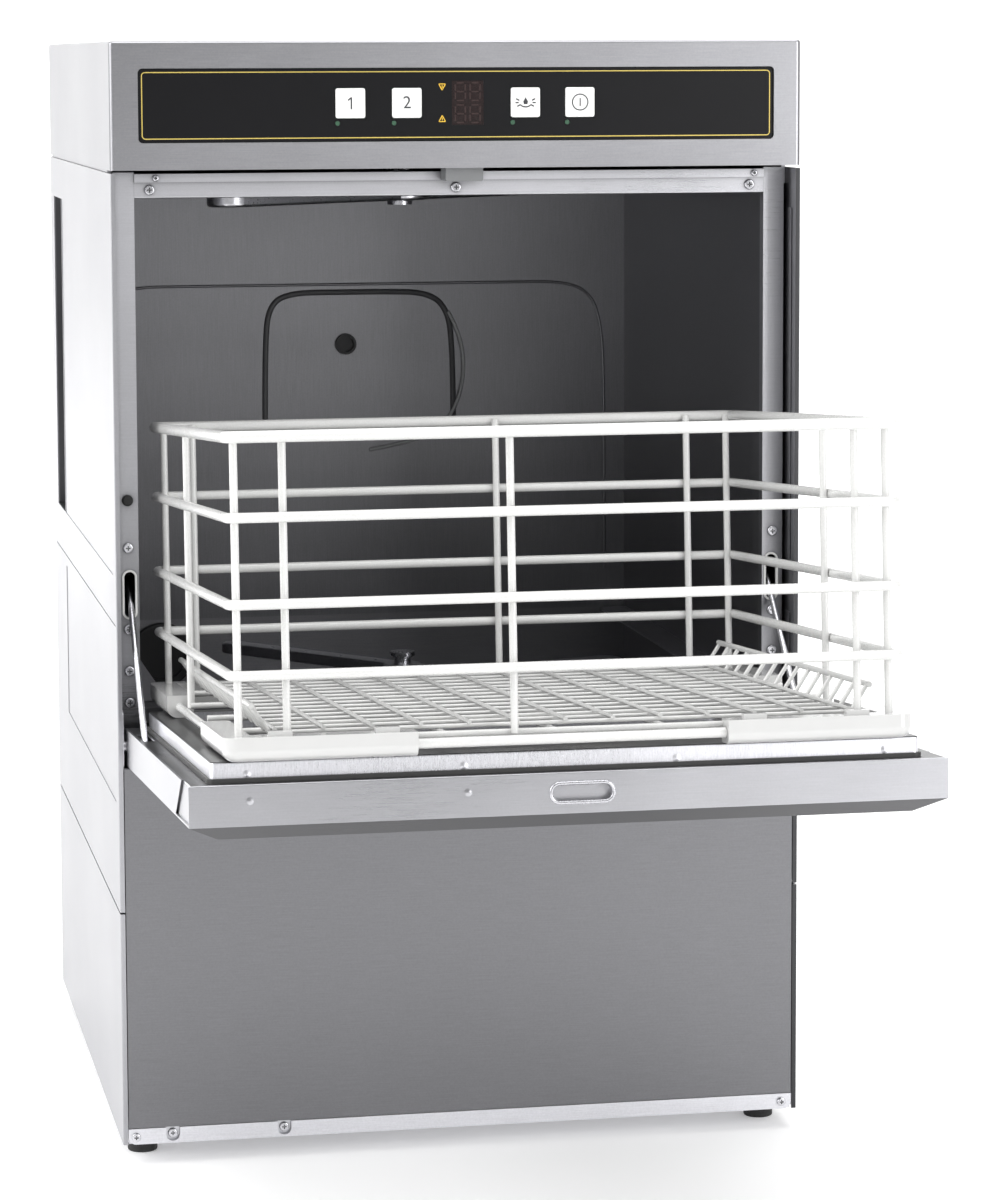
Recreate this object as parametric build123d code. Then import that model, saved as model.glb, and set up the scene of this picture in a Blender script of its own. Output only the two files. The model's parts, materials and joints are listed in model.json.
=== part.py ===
from build123d import *
import math
import os

# A compact front-loading commercial glasswasher with a drop-down door, door open and the
# wire rack standing on it.  Millimetres, +Z up, +X to the right seen from the front, the
# front faces -Y.  The shapes are drawn about the centre of the cabinet's footprint, on the
# floor; every node is then written MID_Y further back, so that the origin of the written
# files is the middle of the whole machine with its door open.

os.makedirs("parts", exist_ok=True)

# ---------------------------------------------------------------- driving dimensions
WIDTH = 460.0
DEPTH = 480.0
HEIGHT = 740.0
MID_Y = 165.0               # from the origin of the files to the centre of the cabinet
SHEET = 1.2                 # stainless sheet
FOOT_H = 14.0               # underside of the base above the floor
HOOD_H = 83.0               # control housing on top
SEAM_GAP = 2.0              # dark gap under the control housing
PANEL_SEAM_Z = 170.0        # joint between upper and lower side panels
FRONT_PANEL_TOP = 266.5     # top edge of the lower front panel
STRIP_TOP = 24.5            # top of the base strip

FACE_Y = -212.0             # plane of the door frame, behind the front plane
OPEN_HALF = 212.0           # half width of the door opening
OPEN_TOP = 638.0
SILL_TOP = 291.5
POST_OUT = 226.0            # outer edge of the posts
POST_BOTTOM = 275.0

CHAMBER_BACK = 207.0        # inner face of the rear wall
CHAMBER_TOP = 648.0         # inner face of the ceiling
WALL_BOTTOM = 300.0         # where the chamber walls stand on the tank
TANK_FLOOR = 205.0
RUNNER_TOP = 300.5
ARM_CENTRE_Y = 2.0

HINGE_Y = -228.0
HINGE_Z = 279.0
TILT = 4.4                  # outer end of the open door stands this much above level
DOOR_HALF = 224.0
DOOR_LENGTH = 366.0         # from hinge axis to the outer end
DOOR_HEEL = 6.0             # from hinge axis to the lower edge
DOOR_T = 12.0               # half thickness of the door
RIM_HALF = 210.0
RIM_BACK = 16.0
RIM_FRONT = 354.0
RIM_TOP = 24.0

PIN_R = 4.0
RUNNING_GAP = 0.05
ROD_X = 217.5
ROD_R = 2.0
ROD_LENGTH = 150.0
ROD_LEAN = 46.0             # degrees from upright
ROD_S = 76.7                # anchor pin, along the door from the hinge
ROD_N = -5.5
SLOT_X = 218.2
SLOT_LOW = 361.0
SLOT_HIGH = 394.0

RACK_HALF = 197.5           # centre line of the rings
RACK_FRONT = 360.0          # front ring plane, along the door from the hinge
RACK_LENGTH = 394.0
RAIL_N = 31.0               # front base wire above the hinge axis
RAIL_R = 3.0
NOSE_R = 6.7                # rounded front lower edge of the corner shoes
RING_N = (73.0, 113.5, 163.0, 209.0)
RING_R = 3.0
TOP_RING_R = 3.5
RING_BEND = 7.0
UPRIGHT_R = 2.3

PLATE_Z = 698.5             # centre height of the control plate
PLATE_H = 48.0
PLATE_HALF = 211.5
PLATE_Y = -238.5            # front face of the control plate
BUTTON_SIDE = 19.5
BUTTON_Z = 699.5
BUTTON_X = {"button_program_1": -73.0, "button_program_2": -35.7,
            "button_drain": 43.2, "button_power": 79.8}
LED_DX = -8.5
LED_Z = 686.5

INLET = (150.0, 92.0)       # x, z of each service connection at the rear
DRAIN = (96.0, 62.0)
GLAND = (190.0, 128.0)
INLET_R = 13.2              # three-quarter inch thread
DRAIN_R = 11.0
GLAND_BORE_R = 4.6
ELBOW = (-153.0, 273.0)     # x, z of the suction elbow in the tank

# ---------------------------------------------------------------- values that follow
HALF_W = WIDTH / 2
FRONT = -DEPTH / 2
BACK = DEPTH / 2
HOOD_BOTTOM = HEIGHT - HOOD_H
BODY_TOP = HOOD_BOTTOM - SEAM_GAP
DOOR_FRAME = Location((0, HINGE_Y, HINGE_Z), (-TILT, 0, 0))


# ---------------------------------------------------------------- helpers
def block(x, y, z):
    """Box between three (low, high) pairs."""
    centre = Pos((x[0] + x[1]) / 2, (y[0] + y[1]) / 2, (z[0] + z[1]) / 2)
    return centre * Box(x[1] - x[0], y[1] - y[0], z[1] - z[0])


def bar(start, end, radius):
    """Round bar between two points."""
    a, b = Vector(*start), Vector(*end)
    plane = Plane(origin=a, z_dir=b - a)
    low = (Align.CENTER, Align.CENTER, Align.MIN)
    return plane * Cylinder(radius, (b - a).length, align=low)


def mirrored(shape):
    """The same shape on the other side of the machine."""
    return mirror(shape, about=Plane.YZ)


def fused(shapes):
    first, *rest = shapes
    return first.fuse(*rest) if rest else first


def in_door(x, s, n):
    """Box in door terms: s runs out from the hinge, n up from it."""
    return block(x, (-s[1], -s[0]), n)


def door_bar(start, end, radius):
    """Round bar between two (x, s, n) points in door terms."""
    a = (start[0], -start[1], start[2])
    b = (end[0], -end[1], end[2])
    return bar(a, b, radius)


def write(name, shape):
    """Export one node, moved back so that the origin is the middle of the machine."""
    shift = Pos(0, MID_Y, 0)
    if isinstance(shape, list):
        shape = Compound(children=[shift * s for s in shape])
    else:
        shape = shift * shape
    shape.label = name
    export_step(shape, f"parts/{name}.step")


# ---------------------------------------------------------------- cabinet shell
def base_frame():
    """Folded tray that carries the machine, with an upstand all round."""
    tray = block((-226, 226), (-237, 237), (FOOT_H, FOOT_H + 26))
    tray -= block((-224.5, 224.5), (-235.5, 235.5), (FOOT_H + 1.5, FOOT_H + 30))
    return tray


def base_strip():
    """Bottom strip with rounded ends and two open notches for the panel screws."""
    strip = block((-226.4, 226.4), (FRONT, FRONT + SHEET), (FOOT_H, STRIP_TOP))
    ends = strip.edges().filter_by(Axis.Y).group_by(Axis.Z)[0]
    strip = fillet(ends, 5)
    for x in (-197.0, -122.5):
        notch = Location((x, FRONT + 2, STRIP_TOP - 4.6), (90, 0, 0)) * Cylinder(4.6, 6)
        notch += block((x - 4.6, x + 4.6), (FRONT - 1, FRONT + 5), (STRIP_TOP - 4.6, STRIP_TOP + 1))
        strip -= notch
    return strip


def side_sheet(z_low, z_high):
    """Left side sheet with its narrow front return."""
    sheet = block((-HALF_W, -HALF_W + SHEET), (FRONT, BACK), (z_low, z_high))
    front_return = block((-HALF_W, -226.8), (FRONT, FRONT + SHEET), (z_low, z_high))
    rear_return = block((-HALF_W, -219), (BACK - SHEET, BACK), (z_low, z_high))
    sheet = sheet + front_return + rear_return
    corner = sheet.edges().filter_by(Axis.Z).sort_by(lambda e: (e.center().X, e.center().Y))[0]
    return fillet(corner, 0.8)


def side_panel_upper():
    """Upper left panel: pressed field, deep vertical recess at the rear, one fold line."""
    panel = side_sheet(PANEL_SEAM_Z + 0.6, BODY_TOP)
    press = 0.5
    for z in ((392, 626), (241, 352)):
        panel -= block((-HALF_W - 1, -HALF_W + press), (-222, 146), z)
        panel += block((-HALF_W + SHEET, -HALF_W + SHEET + press), (-224, 147), (z[0] - 2, z[1] + 2))
    panel -= block((-HALF_W - 1, -HALF_W + press), (FRONT + 6, BACK), (359.4, 360.6))
    recess_y, recess_z, recess_d = (148, 211), (392, 626), 11
    panel -= block((-HALF_W - 1, -HALF_W + 3), recess_y, recess_z)
    x_in = -HALF_W + recess_d
    tray = block((-HALF_W, x_in), (recess_y[0] - SHEET, recess_y[1] + SHEET),
                 (recess_z[0] - SHEET, recess_z[1] + SHEET))
    tray -= block((-HALF_W - 1, x_in - SHEET), recess_y, recess_z)
    return panel + tray


def side_panel_lower():
    return side_sheet(FOOT_H, PANEL_SEAM_Z - 0.6)


def rear_panel():
    """Rear sheet with vents and the holes for water, drain and mains."""
    x_edge = 218.6
    sheet = block((-x_edge, x_edge), (BACK - SHEET, BACK), (FOOT_H, BODY_TOP))
    for row in range(2):
        for i in range(9):
            x = -120 + 30 * i
            z = 560 + 22 * row
            sheet -= block((x - 10, x + 10), (BACK - 3, BACK + 1), (z, z + 5))
    for x, z, r in ((INLET[0], INLET[1], 14), (DRAIN[0], DRAIN[1], 12), (GLAND[0], GLAND[1], 9)):
        sheet -= Location((x, BACK, z), (90, 0, 0)) * Cylinder(r, 6)
    return sheet


def lower_front_panel():
    """Removable panel below the door, with folded side and lower returns."""
    half = 226.2
    panel = block((-half, half), (FRONT, FRONT + SHEET), (STRIP_TOP + 0.5, FRONT_PANEL_TOP))
    for x in ((-half, -half + SHEET), (half - SHEET, half)):
        panel += block(x, (FRONT, FRONT + 18), (STRIP_TOP + 16, 250))
    panel += block((-half, half), (FRONT, FRONT + 10), (257, 258.2))
    outer = [e for e in panel.edges().filter_by(Axis.X)
             if abs(e.center().Y - FRONT) < 0.01 and e.center().Z > FRONT_PANEL_TOP - 0.1]
    return fillet(outer, 0.7)


def hood():
    """Control housing: folded box, open below, with a spigot that drops inside the body."""
    shell = block((-HALF_W, HALF_W), (FRONT, BACK), (HOOD_BOTTOM, HEIGHT))
    shell = fillet(shell.edges().filter_by(Axis.Z), 3)
    shell = fillet(shell.faces().sort_by(Axis.Z)[-1].edges(), 2)
    inside = block((-HALF_W + SHEET, HALF_W - SHEET), (FRONT + SHEET, BACK - SHEET),
                   (HOOD_BOTTOM - 1, HEIGHT - SHEET))
    shell -= inside
    lip = block((-228.6, 228.6), (-206, 238.6), (644, HOOD_BOTTOM + 4))
    lip -= block((-227.4, 227.4), (-204.8, 237.4), (643, HOOD_BOTTOM + 5))
    lip -= block((-226, 226), (-210, -200), (643, HOOD_BOTTOM + 5))
    lip -= block((-240, 240), (238.0, 245), (643, HOOD_BOTTOM + 5))
    floor = block((-229, 229), (FRONT + 1, -206), (HOOD_BOTTOM, HOOD_BOTTOM + SHEET))
    window = block((-PLATE_HALF, PLATE_HALF), (FRONT - 2, FRONT + 4),
                   (PLATE_Z - PLATE_H / 2, PLATE_Z + PLATE_H / 2))
    window = fillet(window.edges().filter_by(Axis.Y), 3)
    return shell + lip + floor - window


def posts():
    """Left door post: face, inner return to the chamber wall and outer return."""
    face = block((-POST_OUT, -OPEN_HALF), (FACE_Y, FACE_Y + SHEET), (POST_BOTTOM, BODY_TOP))
    inner = block((-OPEN_HALF - SHEET, -OPEN_HALF), (FACE_Y, -203), (POST_BOTTOM, CHAMBER_TOP))
    outer = block((-POST_OUT, -POST_OUT + SHEET), (FACE_Y, -188), (POST_BOTTOM, 640))
    post = face + inner + outer
    slot = block((-SLOT_X - 5, -SLOT_X + 5), (FACE_Y - 2, FACE_Y + 4), (SLOT_LOW, SLOT_HIGH))
    slot = fillet(slot.edges().filter_by(Axis.Y), 4.9)
    post -= slot
    return post


def header_bar():
    """Bar over the opening, in two steps."""
    half = OPEN_HALF - 0.1
    top = BODY_TOP - 1
    bar_shape = block((-half, half), (FACE_Y, FACE_Y + SHEET), (OPEN_TOP, top))
    bar_shape += block((-half, half), (FACE_Y, -203), (OPEN_TOP, OPEN_TOP + SHEET))
    bar_shape += block((-half, half), (FACE_Y, -208), (top - SHEET, top))
    bar_shape += block((-half, half), (FACE_Y - 1.6, FACE_Y), (648.5, top))
    lower_edge = [e for e in bar_shape.edges().filter_by(Axis.X)
                  if abs(e.center().Y - FACE_Y) < 0.01 and abs(e.center().Z - OPEN_TOP) < 0.01]
    return fillet(lower_edge, 1.0)


def sill_bar():
    """Channel under the opening, ahead of the tank."""
    half = OPEN_HALF - 0.1
    sill = block((-half, half), (FACE_Y, -203.2), (POST_BOTTOM, SILL_TOP))
    sill -= block((-half + 2, half - 2), (FACE_Y + SHEET, -202), (POST_BOTTOM - 1, SILL_TOP - SHEET))
    return sill


def catch_block():
    """Moulded catch above the opening that the door's end slot closes on."""
    body = block((-8.8, 16.2), (-232, FACE_Y - 1.7), (648.0, HOOD_BOTTOM - 0.1))
    body = fillet(body.edges().filter_by(Axis.Y).group_by(Axis.Z)[0], 1.5)
    return body


def pan_screw(centre, facing, head_r=3.4):
    """Cross-recessed pan head screw; facing is the direction its head looks."""
    z_dir = Vector(*facing)
    plane = Plane(origin=Vector(*centre), z_dir=z_dir)
    low = (Align.CENTER, Align.CENTER, Align.MIN)
    head = Cylinder(head_r, 1.8, align=low)
    head = fillet(head.faces().sort_by(Axis.Z)[-1].edges(), 1.0)
    arm = head_r * 0.95
    cross = Pos(0, 0, 1.5) * (Box(arm, 0.8, 1.4) + Box(0.8, arm, 1.4))
    return plane * (head - cross)


def post_screws():
    heights = (305.5, 326.6, 354.5, 408.5)
    left = [pan_screw((-219.0, FACE_Y, z), (0, -1, 0)) for z in heights]
    return left + [mirrored(s) for s in left]


def header_screws():
    front = [pan_screw((x, FACE_Y, 643.6), (0, -1, 0)) for x in (-202, 1.5, 202)]
    small = [pan_screw((x, FACE_Y - 1.6, 651.3), (0, -1, 0), 2.2) for x in (-198, 205)]
    return front + small


def base_screws():
    strip = [pan_screw((x, FRONT, 19.0), (0, -1, 0), 3.0) for x in (-221.5, 219.5)]
    notched = [pan_screw((x, -237.0, 20.2), (0, -1, 0), 3.2) for x in (-197.0, -122.5)]
    return strip + notched


def door_switch():
    """Rubber plug of the door switch in the left post."""
    plug = bar((-219, FACE_Y, 440), (-219, FACE_Y - 3.0, 440), 3.6)
    return fillet(plug.faces().sort_by(Axis.Y)[0].edges(), 1.2)


def slot_bezel():
    """Plastic slot guide that the door rod passes through."""
    outer = block((-SLOT_X - 4.9, -SLOT_X + 4.9), (FACE_Y - 0.8, FACE_Y + 1.8),
                  (SLOT_LOW + 0.1, SLOT_HIGH - 0.1))
    outer = fillet(outer.edges().filter_by(Axis.Y), 4.8)
    inner = block((-SLOT_X - 3.6, -SLOT_X + 3.6), (FACE_Y - 4, FACE_Y + 8), (SLOT_LOW + 1.4, SLOT_HIGH - 1.4))
    inner = fillet(inner.edges().filter_by(Axis.Y), 3.5)
    return outer - inner


def feet():
    """Low feet: rubber disc under a steel collar."""
    made = []
    low = (Align.CENTER, Align.CENTER, Align.MIN)
    for x in (-213.5, 213.5):
        for y in (-201, 201):
            disc = Cylinder(10, 7, align=low)
            disc = fillet(disc.edges().filter_by(GeomType.CIRCLE), 1.2)
            collar = Pos(0, 0, 7) * Cylinder(7.5, FOOT_H - 7, align=low)
            made.append(Pos(x, y, 0) * (disc + collar))
    return made


# ---------------------------------------------------------------- controls
def control_plate():
    y_back = PLATE_Y + 3
    plate = block((-PLATE_HALF + 0.2, PLATE_HALF - 0.2), (PLATE_Y, y_back),
                  (PLATE_Z - PLATE_H / 2 + 0.2, PLATE_Z + PLATE_H / 2 - 0.2))
    plate = fillet(plate.edges().filter_by(Axis.Y), 2.8)
    hole = BUTTON_SIDE / 2 + 0.4
    for x in BUTTON_X.values():
        plate -= block((x - hole, x + hole), (PLATE_Y - 1, y_back + 1), (BUTTON_Z - hole, BUTTON_Z + hole))
        plate -= Location((x + LED_DX, PLATE_Y, LED_Z), (90, 0, 0)) * Cylinder(1.7, 10)
    plate -= block((-5.8, 15.4), (PLATE_Y - 1, PLATE_Y + 1.6), (685, 714))
    return plate


def display_window():
    return block((-5.7, 15.3), (PLATE_Y, PLATE_Y + 1.6), (685.1, 713.9))


def status_leds():
    return [bar((x + LED_DX, PLATE_Y - 0.4, LED_Z), (x + LED_DX, PLATE_Y + 4, LED_Z), 1.5)
            for x in BUTTON_X.values()]


def push_button(x):
    """Square cap with a stem behind it."""
    half = BUTTON_SIDE / 2
    cap = block((x - half, x + half), (PLATE_Y - 1.4, PLATE_Y + 2.0), (BUTTON_Z - half, BUTTON_Z + half))
    cap = fillet(cap.edges().filter_by(Axis.Y), 1.5)
    cap = fillet(cap.faces().sort_by(Axis.Y)[0].edges(), 0.5)
    return cap + bar((x, PLATE_Y + 1.5, BUTTON_Z), (x, PLATE_Y + 4.6, BUTTON_Z), 3)


def control_board():
    """Circuit board behind the plate, with four key switches and parts."""
    board = block((-110, 120), (-229.6, -228), (672, 725))
    for x in BUTTON_X.values():
        board += block((x - 6, x + 6), (-232.2, -229.6), (BUTTON_Z - 6, BUTTON_Z + 6))
    for x, w, z in ((-95, 14, 700), (4, 24, 700), (104, 18, 690)):
        board += block((x - w / 2, x + w / 2), (-228, -216), (z - 10, z + 10))
    return board


# ---------------------------------------------------------------- wash chamber
def chamber_side():
    return block((-OPEN_HALF - SHEET, -OPEN_HALF), (-202.9, CHAMBER_BACK), (WALL_BOTTOM, CHAMBER_TOP))


def chamber_rear():
    """Rear wall with the round port of the wash manifold."""
    wall = block((-OPEN_HALF - SHEET, OPEN_HALF + SHEET), (CHAMBER_BACK, CHAMBER_BACK + SHEET),
                 (WALL_BOTTOM, CHAMBER_TOP))
    wall -= Location((-8, CHAMBER_BACK, 510), (90, 0, 0)) * Cylinder(8.2, 6)
    return wall


def chamber_ceiling():
    top = block((-OPEN_HALF - SHEET, OPEN_HALF + SHEET), (-202.9, CHAMBER_BACK + SHEET),
                (CHAMBER_TOP, CHAMBER_TOP + SHEET))
    top -= Pos(0, ARM_CENTRE_Y, CHAMBER_TOP) * Cylinder(13, 6)
    return top


def tank():
    """Open tank under the chamber with a round sump."""
    low = (Align.CENTER, Align.CENTER, Align.MIN)
    y = (-202.9, CHAMBER_BACK + SHEET)
    x = (-OPEN_HALF - SHEET, OPEN_HALF + SHEET)
    shape = block(x, y, (TANK_FLOOR - SHEET, WALL_BOTTOM))
    shape += Pos(0, ARM_CENTRE_Y, 168) * Cylinder(62, TANK_FLOOR - 169, align=low)
    shape -= block((x[0] + SHEET, x[1] - SHEET), (y[0] + SHEET, y[1] - SHEET), (TANK_FLOOR, WALL_BOTTOM + 1))
    shape -= Pos(0, ARM_CENTRE_Y, 169.2) * Cylinder(60.8, 60, align=low)
    return shape


def rack_runner():
    """Angle on the left wall that carries the rack inside."""
    shelf = block((-OPEN_HALF, -190), (-176, 200), (RUNNER_TOP - SHEET, RUNNER_TOP))
    leg = block((-OPEN_HALF, -OPEN_HALF + SHEET), (-176, 200), (286, RUNNER_TOP))
    runner = shelf + leg
    inner = [e for e in runner.edges().filter_by(Axis.Z) if e.center().X > -191]
    return fillet(inner, 6)


def tank_strainer():
    """Slotted strainer plate over the tank with a lift-out overflow tube."""
    z = 250
    plate = block((-206, 206), (-196, 200), (z, z + SHEET))
    slots = []
    for i in range(9):
        for j in range(6):
            x = -176 + 44 * i
            y = -160 + 62 * j
            if math.hypot(x, y - ARM_CENTRE_Y) > 50:
                slots.append(block((x - 14, x + 14), (y - 4, y + 4), (z - 1, z + 3)))
    plate = plate.cut(*slots)
    plate -= Pos(0, ARM_CENTRE_Y, z) * Cylinder(17, 6)
    return plate


def lower_arm_hub():
    low = (Align.CENTER, Align.CENTER, Align.MIN)
    column = Pos(0, ARM_CENTRE_Y, 169.2) * Cylinder(15, 266 - 169.2, align=low)
    spindle = Pos(0, ARM_CENTRE_Y, 266) * Cylinder(6, 32, align=low)
    nut = Pos(0, ARM_CENTRE_Y, 298) * Cylinder(9, 3, align=low)
    return column + spindle + nut


def spray_arm(z, length, width, height, jets, up):
    """Two-ended spray arm with a hub bored for its spindle; jets are slots on one face."""
    low = (Align.CENTER, Align.CENTER, Align.MIN)
    body = block((-length / 2, length / 2), (-width / 2, width / 2), (z, z + height))
    body = fillet(body.edges().filter_by(Axis.Z), width / 2 - 0.5)
    body += Pos(0, 0, z) * Cylinder(width / 2 + 6, height, align=low)
    rim = body.edges().group_by(Axis.Z)
    body = fillet(rim[0] + rim[-1], height * 0.22)
    face = z + height if up else z
    for k in range(jets):
        x = length / 2 - 14 - k * (length / 2 - 40) / max(jets - 1, 1)
        for side in (-1, 1):
            body -= Location((side * x, 0, face), (0, 0, 25 * side)) * Box(7, 2, 1.6)
    body -= Pos(0, 0, z - 1) * Cylinder(6 + RUNNING_GAP, height + 2, align=low)
    return body


def placed_arm(arm, turn):
    return Location((0, ARM_CENTRE_Y, 0), (0, 0, turn)) * arm


def upper_arm_hub():
    low = (Align.CENTER, Align.CENTER, Align.MIN)
    spindle = Pos(0, ARM_CENTRE_Y, 627.2) * Cylinder(6, 21, align=low)
    nut = Pos(0, ARM_CENTRE_Y, 624.6) * Cylinder(9, 2.6, align=low)
    boss = Pos(0, ARM_CENTRE_Y, 646.6) * Cylinder(12.8, 6, align=low)
    return spindle + nut + boss


def riser_pipe():
    """Flat pipe that feeds the upper arms, up the rear wall and over the ceiling."""
    riser = block((-17, 17), (209, 231), (110, 669))
    over = block((-17, 17), (-14, 231), (653, 669))
    pipe = riser + over
    rear_edge = [e for e in pipe.edges().filter_by(Axis.X)
                 if e.center().Y > 230 and e.center().Z > 668]
    pipe = fillet(rear_edge, 14)
    port = bar((-8, 204, 510), (-8, 209, 510), 8)
    port -= bar((-8, 203, 510), (-8, 207, 510), 6)
    return pipe + port


def suction_elbow():
    """Moulded black elbow on the rear wall of the tank at the left."""
    x, z = ELBOW
    flange = bar((x, CHAMBER_BACK - 5, z), (x, CHAMBER_BACK - 0.05, z), 25)
    flange = fillet(flange.faces().sort_by(Axis.Y)[0].edges(), 2)
    return flange - bar((x, CHAMBER_BACK - 6, z), (x, CHAMBER_BACK - 1.5, z), 19)


# ---------------------------------------------------------------- service parts under the tank

def wash_pump():
    volute = bar((-70, 60, 92), (-70, 108, 92), 52)
    suction = bar((-70, 0, 92), (-70, 60, 92), 20)
    neck = bar((-70, 2, 92), (-24, 2, 148), 18)
    tangent = bar((-32, 84, 100), (-32, 84, 166), 13)
    outlet = bar((-32, 84, 166), (-10, 206.5, 166), 12)
    return fused([volute, suction, neck, tangent, outlet])


def pump_motor():
    motor = bar((-70, 108.2, 92), (-70, 205, 92), 44)
    motor = fillet(motor.faces().sort_by(Axis.Y)[-1].edges(), 6)
    box = block((-108, -60), (120, 180), (125, 148))
    return motor + box


def boiler():
    """Rinse water heater: a horizontal cylinder with a flanged heater."""
    shell = bar((140, -150, 84), (140, 90, 84), 60)
    shell = fillet(shell.edges().filter_by(GeomType.CIRCLE), 10)
    flange = bar((140, -166, 84), (140, -150, 84), 32)
    return shell + flange


def tank_heater():
    """Bent tubular heater just above the tank floor."""
    z = 222
    route = FilletPolyline((90, -180, z), (90, -80, z), (150, -80, z), (150, 120, z),
                           (-150, 120, z), (-150, -80, z), (-90, -80, z), (-90, -180, z),
                           radius=20)
    section = Plane(origin=(90, -180, z), z_dir=(0, 1, 0)) * Circle(4)
    return sweep(section, path=route)


def drain_pump():
    body = bar((-150, -150, 62), (-150, -70, 62), 34)
    motor = bar((-150, -205, 62), (-150, -150, 62), 24)
    hose = bar((-150, -90, 62), (20, -46, 150), 12)
    return fused([body, motor, hose])


def inlet_valve():
    """Water inlet with an external pipe thread behind the machine."""
    x, z = INLET
    body = block((x - 18, x + 18), (205, 236), (z - 18, z + 18))
    neck = bar((x, 236, z), (x, BACK + 1, z), 12)
    return fused([body, neck, bar((x, BACK + 1, z), (x, BACK + 21, z), INLET_R)])


def drain_spigot():
    x, z = DRAIN
    pipe = bar((x, 200, z), (x, BACK + 1, z), DRAIN_R - 0.6)
    pipe += bar((x, BACK + 1, z), (x, BACK + 25, z), DRAIN_R)
    return pipe - bar((x, 210, z), (x, BACK + 26, z), DRAIN_R - 2)


def cable_gland():
    x, z = GLAND
    nut = Location((x, BACK, z), (-90, 0, 0)) * extrude(RegularPolygon(12, 6), 7)
    dome = bar((x, BACK + 7, z), (x, BACK + 14, z), 9)
    dome = fillet(dome.faces().sort_by(Axis.Y)[-1].edges(), 3)
    tail = bar((x, BACK - 10, z), (x, BACK, z), 8.8)
    return fused([nut, dome, tail]) - bar((x, BACK - 12, z), (x, BACK + 16, z), GLAND_BORE_R)


# ---------------------------------------------------------------- door
def hinge_bracket():
    """Plate beside the opening with the riveted left hinge pin, footed on the post."""
    plate = block((-228.2, -225.8), (-236, FACE_Y - 0.5), (262, 304))
    plate = fillet(plate.edges().filter_by(Axis.X).group_by(Axis.Y)[0], 6)
    foot = block((-228.2, -226.1), (FACE_Y - 0.5, -190), (284, 304))
    plate += foot
    pin = bar((-228.2, HINGE_Y, HINGE_Z), (-219.0, HINGE_Y, HINGE_Z), PIN_R)
    pin = fillet(pin.faces().sort_by(Axis.X)[-1].edges(), 0.8)
    return plate + pin


def door_skin():
    """Outer sheet with folded sides, end flange with catch slot, and a finger lip."""
    outer = in_door((-DOOR_HALF, DOOR_HALF), (-DOOR_HEEL, DOOR_LENGTH), (-DOOR_T, -DOOR_T + SHEET))
    end = in_door((-DOOR_HALF, DOOR_HALF), (DOOR_LENGTH - SHEET, DOOR_LENGTH), (-DOOR_T, DOOR_T))
    skin = outer + end
    front_top = [e for e in skin.edges().filter_by(Axis.X)
                 if abs(e.center().Z - DOOR_T) < 0.01 and e.center().Y < -DOOR_LENGTH + 0.1]
    skin = fillet(front_top, 0.9)
    wide = Location((0, -DOOR_LENGTH + SHEET / 2, -DOOR_T)) * Rectangle(2 * DOOR_HALF, SHEET)
    narrow = Location((0, -351, -20.5)) * Rectangle(2 * 206, SHEET)
    skin += loft([wide, narrow], ruled=True)
    outline = [(0, DOOR_T), (-330, DOOR_T), (-296, -DOOR_T), (0, -DOOR_T)]
    side = Plane.YZ * (Polygon(*outline, align=None) + Circle(8))
    side = Pos(-DOOR_HALF, 0, 0) * extrude(side, SHEET)
    side -= bar((-DOOR_HALF - 1, 0, 0), (-DOOR_HALF + 3, 0, 0), PIN_R + RUNNING_GAP)
    corner = in_door((-DOOR_HALF + 1.4, -DOOR_HALF + 2.6), (288, DOOR_LENGTH - 0.2), (-DOOR_T + 0.6, 10.6))
    skin = skin + side + corner + mirrored(side + corner)
    cup = in_door((-18, 26), (DOOR_LENGTH - 6, DOOR_LENGTH - 0.5), (-7.5, 7.5))
    cup = fillet(cup.edges().filter_by(Axis.Y), 6)
    slot = in_door((-13.4, 21.4), (DOOR_LENGTH - 5, DOOR_LENGTH + 2), (-4.5, 4.5))
    slot = fillet(slot.edges().filter_by(Axis.Y), 4.4)
    return skin + cup - slot


def door_liner():
    """Inner pan: flat margin, raised rim and a shallow ribbed tray inside it."""
    margin = in_door((-222.6, 222.6), (-1, DOOR_LENGTH - 1.4), (DOOR_T - SHEET, DOOR_T))
    rim = in_door((-RIM_HALF, RIM_HALF), (RIM_BACK, RIM_FRONT), (DOOR_T - SHEET, RIM_TOP))
    rim = fillet(rim.edges().filter_by(Axis.Z), 3)
    rim = fillet(rim.faces().sort_by(Axis.Z)[-1].edges(), 1.2)
    under = in_door((-RIM_HALF + SHEET, RIM_HALF - SHEET), (RIM_BACK + SHEET, RIM_FRONT - SHEET),
                    (DOOR_T - 3, RIM_TOP - SHEET))
    pan = margin + rim - under
    tray_x, tray_s, tray_floor = 193.0, (33.0, 337.0), 13.5
    tray = in_door((-tray_x, tray_x), tray_s, (tray_floor - SHEET, RIM_TOP - 0.1))
    well = in_door((-tray_x + SHEET, tray_x - SHEET), (tray_s[0] + SHEET, tray_s[1] - SHEET),
                   (tray_floor, RIM_TOP + 1))
    well = fillet(well.edges().filter_by(Axis.Z), 8)
    pan = pan + tray - well
    for s in (100, 185, 270):
        rib = in_door((-150, 150), (s - 5, s + 5), (tray_floor - 0.2, tray_floor + 2))
        pan += fillet(rib.edges().filter_by(Axis.Z), 4.9)
    for side in (-1, 1):
        x = side * ROD_X
        pan -= in_door((x - 3.5, x + 3.5), (44, 93), (0, RIM_TOP))
    return pan


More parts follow.
